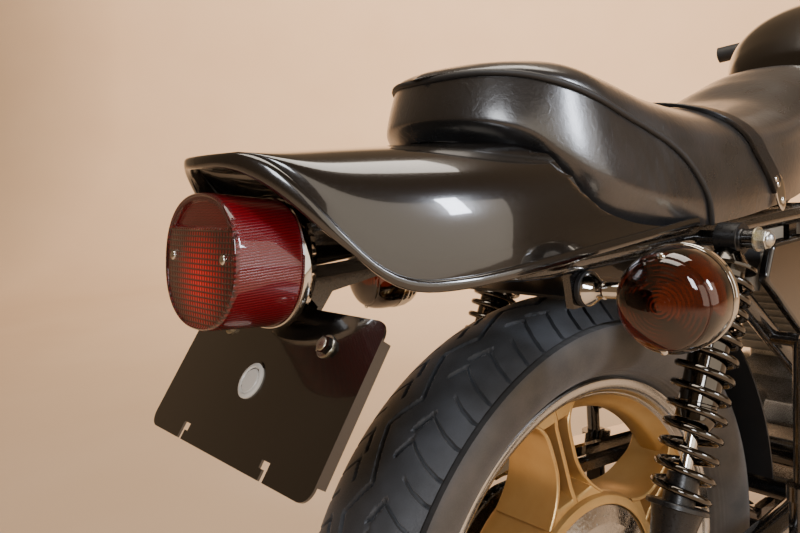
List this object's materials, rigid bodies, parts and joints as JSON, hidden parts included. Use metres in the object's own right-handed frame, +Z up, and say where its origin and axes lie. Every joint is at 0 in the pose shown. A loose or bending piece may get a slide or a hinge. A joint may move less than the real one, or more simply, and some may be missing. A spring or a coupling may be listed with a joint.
{
  "type": "cafe racer motorcycle",
  "caption": "Motorcycle with stepped solo seat, short tail cowl, round tail lamp, twin shock absorbers, cast wheels and inline engine, standing on its centre stand.",
  "frame": {"origin": "on the ground, under the middle of the overall box", "axes": "+X forward, +Y to the rider's left, +Z up"},
  "size_m": [2.2178, 0.7178, 1.1241],
  "materials": {
    "frame_black": "gloss black enamel",
    "body_black": "deep gloss black",
    "wheel_gold": "satin gold",
    "chrome": "bright plate",
    "bare_aluminium": "polished castings",
    "bare_steel": "zinc plated and ground steel",
    "tyre_rubber": "matt",
    "soft_rubber": "moulded",
    "seat_vinyl": "soft grained black",
    "red_lens": "deep red moulding",
    "amber_lens": "smoked amber moulding",
    "clear_glass": "clear",
    "dark_plastic": "moulded black"
  },
  "bodies": {
    "chassis": {"main_frame": "frame_black", "seat_frame": "frame_black", "swing_arm": "frame_black", "shock_left": "chrome", "shock_right": "chrome", "rear_axle": "bare_steel", "rear_brake": "bare_aluminium", "chain": "bare_steel", "chain_guard": "chrome", "rear_mudguard": "dark_plastic", "tail_cowl": "body_black", "tail_lamp_base": "chrome", "tail_lamp_lens": "red_lens", "lamp_strap": "frame_black", "plate_holder": "body_black", "rear_signals": "chrome", "rear_signal_lenses": "amber_lens", "seat": "seat_vinyl", "seat_strap": "seat_vinyl", "tank": "body_black", "tank_cap": "chrome", "side_covers": "body_black", "engine_cases": "bare_aluminium", "engine_barrels": "bare_aluminium", "engine_head": "bare_aluminium", "carburettors": "bare_aluminium", "air_filters": "soft_rubber", "exhaust_pipes": "chrome", "silencer": "frame_black", "footrests": "frame_black", "foot_levers": "bare_steel", "passenger_rests": "frame_black"},
    "steering": {"fork_legs": "chrome", "yokes": "bare_aluminium", "front_calipers": "bare_aluminium", "front_mudguard": "body_black", "handlebar": "frame_black", "grips": "soft_rubber", "hand_controls": "bare_aluminium", "headlamp_shell": "chrome", "headlamp_glass": "clear_glass", "instruments": "chrome", "front_signals": "chrome", "front_signal_lenses": "amber_lens"},
    "front_wheel": {"front_wheel": "wheel_gold", "front_tyre": "tyre_rubber", "front_discs": "bare_steel"},
    "rear_wheel": {"rear_wheel": "wheel_gold", "rear_tyre": "tyre_rubber", "rear_sprocket": "bare_steel"},
    "centre_stand": {"centre_stand": "frame_black"},
    "side_stand": {"side_stand": "frame_black"}
  },
  "joints": [
    {"name": "steering", "type": "hinge", "parent": "chassis", "child": "steering", "pos_m": [0.43991, 0, 0.88712], "axis": [-0.4384, 0, 0.8988], "range_deg": [-30, 30]},
    {"name": "front_wheel_spin", "type": "hinge", "parent": "steering", "child": "front_wheel", "pos_m": [0.7779, 0, 0.331], "axis": [0, 1, 0], "continuous": true},
    {"name": "rear_wheel_spin", "type": "hinge", "parent": "chassis", "child": "rear_wheel", "pos_m": [-0.7121, 0, 0.344], "axis": [0, 1, 0], "continuous": true},
    {"name": "centre_stand_fold", "type": "hinge", "parent": "chassis", "child": "centre_stand", "pos_m": [-0.2321, 0, 0.23], "axis": [0, 1, 0], "range_deg": [0, 78]},
    {"name": "side_stand_swing", "type": "hinge", "parent": "chassis", "child": "side_stand", "pos_m": [-0.0571, 0.128, 0.178], "axis": [0, -0.9063, -0.4226], "range_deg": [0, 105]}
  ]
}
